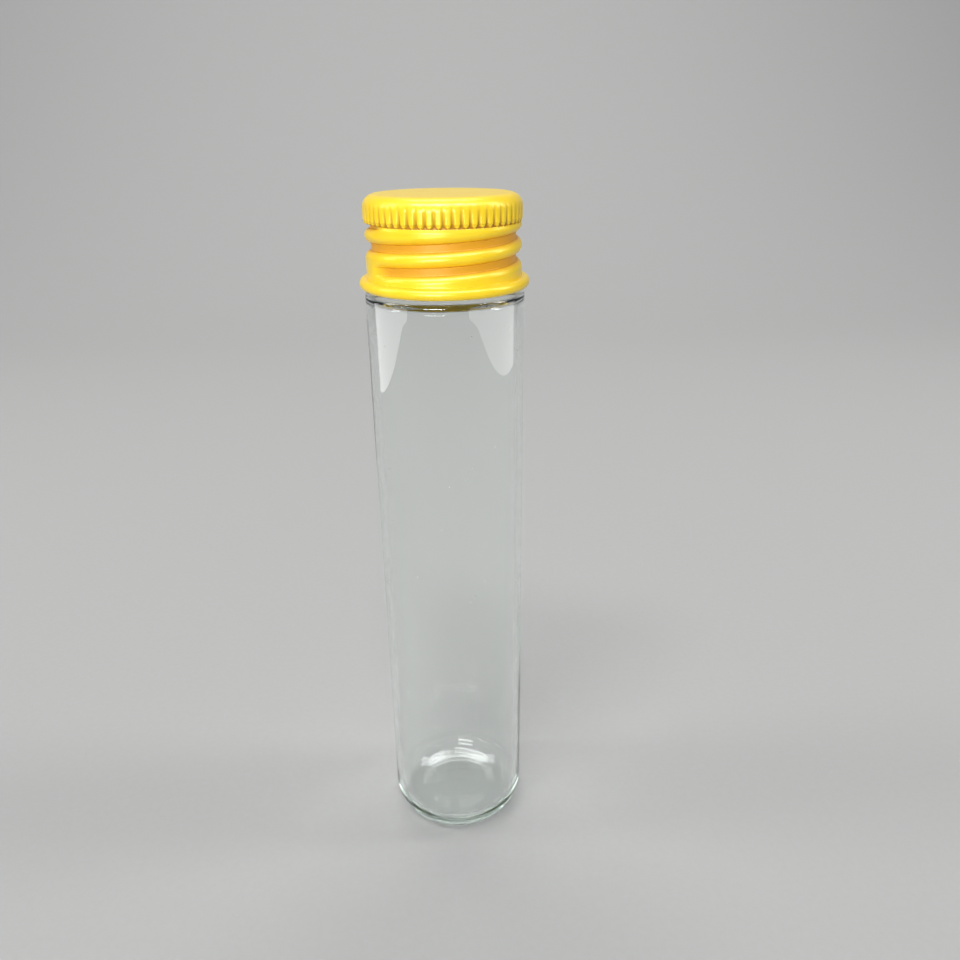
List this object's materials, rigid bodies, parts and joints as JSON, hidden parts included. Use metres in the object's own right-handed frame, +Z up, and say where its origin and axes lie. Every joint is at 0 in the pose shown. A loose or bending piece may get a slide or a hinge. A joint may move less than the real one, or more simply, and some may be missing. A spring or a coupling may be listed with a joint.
{
  "type": "sample vial",
  "caption": "Small flat-bottomed glass tube vial with a threaded neck, closed by a knurled gold-yellow aluminium screw cap with a foam liner.",
  "frame": {"origin": "centre of the base, on the surface the vial stands on", "axes": "+Z up along the tube's axis towards the cap; -Y faces the front view"},
  "size_m": [0.0232, 0.0232, 0.1036],
  "materials": {
    "clear_glass": "fire-polished clear glass, faint green edge tint",
    "cap_lacquer": "satin gold-yellow lacquer on thin rolled aluminium",
    "liner_foam": "white closed-cell polyethylene foam",
    "liner_film": "smooth translucent white polyethylene film"
  },
  "bodies": {
    "vial": {"glass_vial": "clear_glass"},
    "liner": {"liner_face": "liner_film", "liner_core": "liner_foam", "liner_back": "liner_film"},
    "cap": {"cap_shell": "cap_lacquer"}
  },
  "joints": [
    {"name": "cap_rise", "type": "slide", "parent": "vial", "child": "liner", "axis": [0, 0, 1], "range_m": [0, 0.0129]},
    {"name": "cap_turn", "type": "hinge", "parent": "liner", "child": "cap", "pos_m": [0, 0, 0.0973], "axis": [0, 0, 1], "range_deg": [0, 1620]}
  ],
  "couplings": [
    {"joint": "cap_rise", "follows": "cap_turn", "m_per_rad": 0.00045359}
  ]
}
